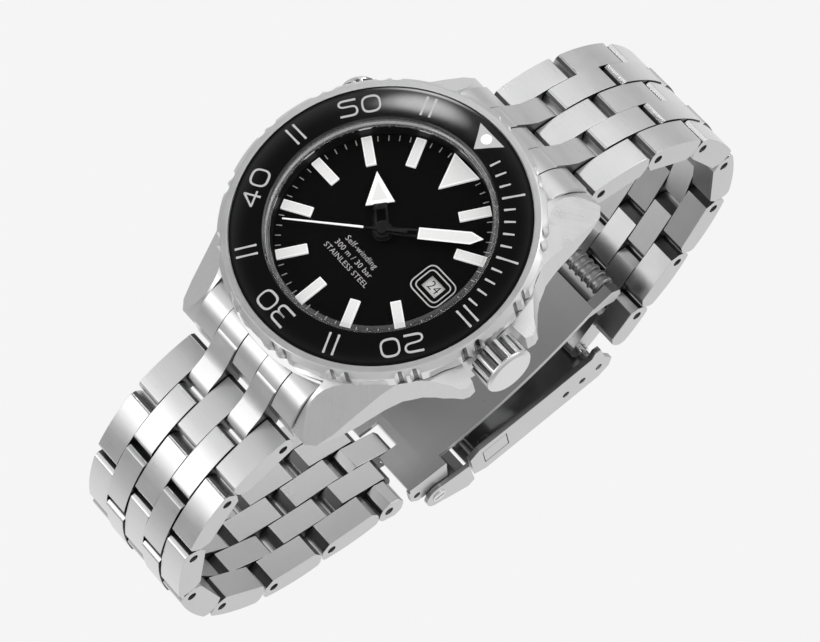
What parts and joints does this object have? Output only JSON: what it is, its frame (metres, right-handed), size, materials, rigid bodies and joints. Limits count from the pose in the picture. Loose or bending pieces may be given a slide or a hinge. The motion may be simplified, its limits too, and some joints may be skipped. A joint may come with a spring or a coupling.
{
  "type": "wristwatch",
  "caption": "Steel diver's wristwatch with a turning bezel, pull-out crown, hands, jointed five-column bracelet and folding clasp.",
  "frame": {"origin": "centre of the flat case back", "axes": "+Z out of the dial, +Y to 12 o'clock, +X to 3 o'clock and the crown"},
  "size_m": [0.046, 0.0948, 0.0643],
  "materials": {
    "case_steel": "brushed",
    "back_steel": "satin",
    "crystal": "polished",
    "bezel_steel": "polished",
    "insert_black": "gloss",
    "dial_black": "matt",
    "lume": "matt",
    "ring_black": "polished",
    "hands": "satin",
    "date_white": "matt",
    "movement_steel": "satin",
    "rotor_steel": "brushed",
    "balance_brass": "polished",
    "gasket_rubber": "matt",
    "bar_steel": "satin",
    "link_steel": "brushed",
    "clasp_steel": "brushed",
    "blade_steel": "satin"
  },
  "bodies": {
    "head": {"case": "case_steel", "case_back": "back_steel", "crystal": "crystal", "dial": "dial_black", "hour_markers": "lume", "chapter_ring": "ring_black", "movement": "movement_steel", "crown_tube": "back_steel", "lug_bar_12": "bar_steel", "lug_bar_6": "bar_steel", "end_link_12": "case_steel", "end_link_6": "case_steel"},
    "bezel": {"bezel": "bezel_steel", "bezel_insert": "insert_black"},
    "hour_hand": {"hour_hand": "hands"},
    "minute_hand": {"minute_hand": "hands"},
    "seconds_hand": {"seconds_hand": "hands"},
    "date_disc": {"date_disc": "date_white"},
    "rotor": {"rotor": "rotor_steel"},
    "balance_wheel": {"balance_wheel": "balance_brass"},
    "crown_seal": {"crown_gasket": "gasket_rubber"},
    "crown": {"crown": "bezel_steel"},
    "helium_valve": {"helium_valve": "bezel_steel"},
    "row12_a1": {"row12_a1": "link_steel"},
    "row12_b1": {"row12_b1": "link_steel"},
    "row12_a2": {"row12_a2": "link_steel"},
    "row12_b2": {"row12_b2": "link_steel"},
    "row12_a3": {"row12_a3": "link_steel"},
    "row12_b3": {"row12_b3": "link_steel"},
    "row12_a4": {"row12_a4": "link_steel"},
    "row12_b4": {"row12_b4": "link_steel"},
    "row12_a5": {"row12_a5": "link_steel"},
    "row12_b5": {"row12_b5": "link_steel"},
    "row12_a6": {"row12_a6": "link_steel"},
    "row12_b6": {"row12_b6": "link_steel"},
    "row12_a7": {"row12_a7": "link_steel"},
    "row12_b7": {"row12_b7": "link_steel", "adjust_bar": "bar_steel"},
    "row6_a1": {"row6_a1": "link_steel"},
    "row6_b1": {"row6_b1": "link_steel"},
    "row6_a2": {"row6_a2": "link_steel"},
    "row6_b2": {"row6_b2": "link_steel"},
    "row6_a3": {"row6_a3": "link_steel"},
    "row6_b3": {"row6_b3": "link_steel"},
    "row6_a4": {"row6_a4": "link_steel"},
    "row6_b4": {"row6_b4": "link_steel"},
    "row6_a5": {"row6_a5": "link_steel"},
    "row6_b5": {"row6_b5": "link_steel"},
    "row6_a6": {"row6_a6": "link_steel"},
    "row6_b6": {"row6_b6": "link_steel"},
    "row6_a7": {"row6_a7": "link_steel"},
    "row6_b7": {"row6_b7": "link_steel"},
    "row6_a8": {"row6_a8": "link_steel", "end_bar": "bar_steel"},
    "clasp_cover": {"clasp_cover": "clasp_steel"},
    "clasp_middle": {"clasp_middle_blade": "blade_steel"},
    "clasp_end": {"clasp_end_blade": "blade_steel"},
    "button_right": {"button_right": "clasp_steel"},
    "button_left": {"button_left": "clasp_steel"},
    "safety_flap": {"safety_flap": "clasp_steel"}
  },
  "joints": [
    {"name": "bezel_turn", "type": "hinge", "parent": "head", "child": "bezel", "pos_m": [0, 0, 0.01], "axis": [0, 0, 1], "continuous": true},
    {"name": "minute_turn", "type": "hinge", "parent": "head", "child": "minute_hand", "pos_m": [0, 0, 0.0099], "axis": [0, 0, -1], "continuous": true},
    {"name": "hour_turn", "type": "hinge", "parent": "head", "child": "hour_hand", "pos_m": [0, 0, 0.0095], "axis": [0, 0, -1], "continuous": true},
    {"name": "date_turn", "type": "hinge", "parent": "head", "child": "date_disc", "pos_m": [0, 0, 0.0083], "axis": [0, 0, -1], "continuous": true},
    {"name": "seconds_turn", "type": "hinge", "parent": "head", "child": "seconds_hand", "pos_m": [0, 0, 0.0103], "axis": [0, 0, -1], "continuous": true},
    {"name": "rotor_turn", "type": "hinge", "parent": "head", "child": "rotor", "pos_m": [0, 0, 0.0026], "axis": [0, 0, 1], "continuous": true},
    {"name": "balance_swing", "type": "hinge", "parent": "head", "child": "balance_wheel", "pos_m": [0.0064, -0.0064, 0.004], "axis": [0, 0, 1], "range_deg": [-270, 270]},
    {"name": "crown_pull", "type": "slide", "parent": "head", "child": "crown_seal", "axis": [1, 0, 0], "range_m": [0, 0.0012]},
    {"name": "crown_turn", "type": "hinge", "parent": "crown_seal", "child": "crown", "pos_m": [0.0225, 0, 0.007], "axis": [1, 0, 0], "continuous": true},
    {"name": "valve_turn", "type": "hinge", "parent": "head", "child": "helium_valve", "pos_m": [-0.01897, 0.01095, 0.0059], "axis": [-0.866, 0.5, 0], "range_deg": [0, 540]},
    {"name": "cover_pivot", "type": "hinge", "parent": "row12_b7", "child": "clasp_cover", "pos_m": [0, 0.02096, -0.04955], "axis": [1, 0, 0], "range_deg": [0, 37]},
    {"name": "end_blade_unfold", "type": "hinge", "parent": "clasp_middle", "child": "clasp_end", "pos_m": [0, 0.0265, -0.0376], "axis": [-1, 0, 0], "range_deg": [0, 70]},
    {"name": "middle_blade_unfold", "type": "hinge", "parent": "clasp_cover", "child": "clasp_middle", "pos_m": [0, -0.0006, -0.0476], "axis": [1, 0, 0], "range_deg": [0, 30]},
    {"name": "button_right_press", "type": "slide", "parent": "clasp_cover", "child": "button_right", "axis": [-1, 0, 0], "range_m": [0, 0.0008], "stiffness_N_per_m": 300},
    {"name": "button_left_press", "type": "slide", "parent": "clasp_cover", "child": "button_left", "axis": [1, 0, 0], "range_m": [0, 0.0008], "stiffness_N_per_m": 300},
    {"name": "flap_open", "type": "hinge", "parent": "clasp_end", "child": "safety_flap", "pos_m": [0, -0.008, -0.0479], "axis": [-1, 0, 0], "range_deg": [0, 100]},
    {"name": "row12_a1_pin", "type": "hinge", "parent": "head", "child": "row12_a1", "pos_m": [0, 0.0263, -0.0015], "axis": [1, 0, 0], "range_deg": [0, 14]},
    {"name": "row12_b1_pin", "type": "hinge", "parent": "row12_a1", "child": "row12_b1", "pos_m": [0, 0.03261, -0.00307], "axis": [1, 0, 0], "range_deg": [0, 12.5]},
    {"name": "row12_a2_pin", "type": "hinge", "parent": "row12_b1", "child": "row12_a2", "pos_m": [0, 0.03574, -0.00463], "axis": [1, 0, 0], "range_deg": [0, 12.5]},
    {"name": "row12_b2_pin", "type": "hinge", "parent": "row12_a2", "child": "row12_b2", "pos_m": [0, 0.04079, -0.00872], "axis": [1, 0, 0], "range_deg": [0, 13.75]},
    {"name": "row12_a3_pin", "type": "hinge", "parent": "row12_b2", "child": "row12_a3", "pos_m": [0, 0.04291, -0.01151], "axis": [1, 0, 0], "range_deg": [0, 13.75]},
    {"name": "row12_b3_pin", "type": "hinge", "parent": "row12_a3", "child": "row12_b3", "pos_m": [0, 0.0455, -0.01747], "axis": [1, 0, 0], "range_deg": [0, 16.25]},
    {"name": "row12_a4_pin", "type": "hinge", "parent": "row12_b3", "child": "row12_a4", "pos_m": [0, 0.04594, -0.02094], "axis": [1, 0, 0], "range_deg": [0, 16.25]},
    {"name": "row12_b4_pin", "type": "hinge", "parent": "row12_a4", "child": "row12_b4", "pos_m": [0, 0.04493, -0.02736], "axis": [1, 0, 0], "range_deg": [0, 17]},
    {"name": "row12_a5_pin", "type": "hinge", "parent": "row12_b4", "child": "row12_a5", "pos_m": [0, 0.04339, -0.03051], "axis": [1, 0, 0], "range_deg": [0, 17]},
    {"name": "row12_b5_pin", "type": "hinge", "parent": "row12_a5", "child": "row12_b5", "pos_m": [0, 0.03896, -0.03526], "axis": [1, 0, 0], "range_deg": [0, 4]},
    {"name": "row12_a6_pin", "type": "hinge", "parent": "row12_b5", "child": "row12_a6", "pos_m": [0, 0.0364, -0.03765], "axis": [1, 0, 0], "range_deg": [0, 4]},
    {"name": "row12_b6_pin", "type": "hinge", "parent": "row12_a6", "child": "row12_b6", "pos_m": [0, 0.03135, -0.04174], "axis": [1, 0, 0], "range_deg": [0, 4]},
    {"name": "row12_a7_pin", "type": "hinge", "parent": "row12_b6", "child": "row12_a7", "pos_m": [0, 0.0286, -0.04391], "axis": [1, 0, 0], "range_deg": [0, 4]},
    {"name": "row12_b7_pin", "type": "hinge", "parent": "row12_a7", "child": "row12_b7", "pos_m": [0, 0.0255, -0.04628], "axis": [1, 0, 0], "range_deg": [0, 4]},
    {"name": "row6_a1_pin", "type": "hinge", "parent": "head", "child": "row6_a1", "pos_m": [0, -0.0263, -0.0015], "axis": [-1, 0, 0], "range_deg": [0, 11]},
    {"name": "row6_b1_pin", "type": "hinge", "parent": "row6_a1", "child": "row6_b1", "pos_m": [0, -0.03268, -0.00274], "axis": [-1, 0, 0], "range_deg": [0, 14.5]},
    {"name": "row6_a2_pin", "type": "hinge", "parent": "row6_b1", "child": "row6_a2", "pos_m": [0, -0.03584, -0.00425], "axis": [-1, 0, 0], "range_deg": [0, 14.5]},
    {"name": "row6_b2_pin", "type": "hinge", "parent": "row6_a2", "child": "row6_b2", "pos_m": [0, -0.04082, -0.00843], "axis": [-1, 0, 0], "range_deg": [0, 15.25]},
    {"name": "row6_a3_pin", "type": "hinge", "parent": "row6_b2", "child": "row6_a3", "pos_m": [0, -0.04281, -0.0113], "axis": [-1, 0, 0], "range_deg": [0, 15.25]},
    {"name": "row6_b3_pin", "type": "hinge", "parent": "row6_a3", "child": "row6_b3", "pos_m": [0, -0.04498, -0.01743], "axis": [-1, 0, 0], "range_deg": [0, 15.75]},
    {"name": "row6_a4_pin", "type": "hinge", "parent": "row6_b3", "child": "row6_a4", "pos_m": [0, -0.04521, -0.02092], "axis": [-1, 0, 0], "range_deg": [0, 15.75]},
    {"name": "row6_b4_pin", "type": "hinge", "parent": "row6_a4", "child": "row6_b4", "pos_m": [0, -0.04386, -0.02728], "axis": [-1, 0, 0], "range_deg": [0, 16.5]},
    {"name": "row6_a5_pin", "type": "hinge", "parent": "row6_b4", "child": "row6_a5", "pos_m": [0, -0.04219, -0.03035], "axis": [-1, 0, 0], "range_deg": [0, 16.5]},
    {"name": "row6_b5_pin", "type": "hinge", "parent": "row6_a5", "child": "row6_b5", "pos_m": [0, -0.03759, -0.03495], "axis": [-1, 0, 0], "range_deg": [0, 13]},
    {"name": "row6_a6_pin", "type": "hinge", "parent": "row6_b5", "child": "row6_a6", "pos_m": [0, -0.03463, -0.03681], "axis": [-1, 0, 0], "range_deg": [0, 13]},
    {"name": "row6_b6_pin", "type": "hinge", "parent": "row6_a6", "child": "row6_b6", "pos_m": [0, -0.02848, -0.03892], "axis": [-1, 0, 0], "range_deg": [0, 4]},
    {"name": "row6_a7_pin", "type": "hinge", "parent": "row6_b6", "child": "row6_a7", "pos_m": [0, -0.02511, -0.03986], "axis": [-1, 0, 0], "range_deg": [0, 4]},
    {"name": "row6_b7_pin", "type": "hinge", "parent": "row6_a7", "child": "row6_b7", "pos_m": [0, -0.01875, -0.04121], "axis": [-1, 0, 0], "range_deg": [-7, 0]},
    {"name": "row6_a8_pin", "type": "hinge", "parent": "row6_b7", "child": "row6_a8", "pos_m": [0, -0.01544, -0.04235], "axis": [-1, 0, 0], "range_deg": [-7, 0]}
  ],
  "couplings": [
    {"joint": "hour_turn", "follows": "minute_turn", "ratio": 0.083333},
    {"joint": "date_turn", "follows": "minute_turn", "ratio": 0.0013441},
    {"joint": "middle_blade_unfold", "follows": "end_blade_unfold", "ratio": 0.4}
  ]
}
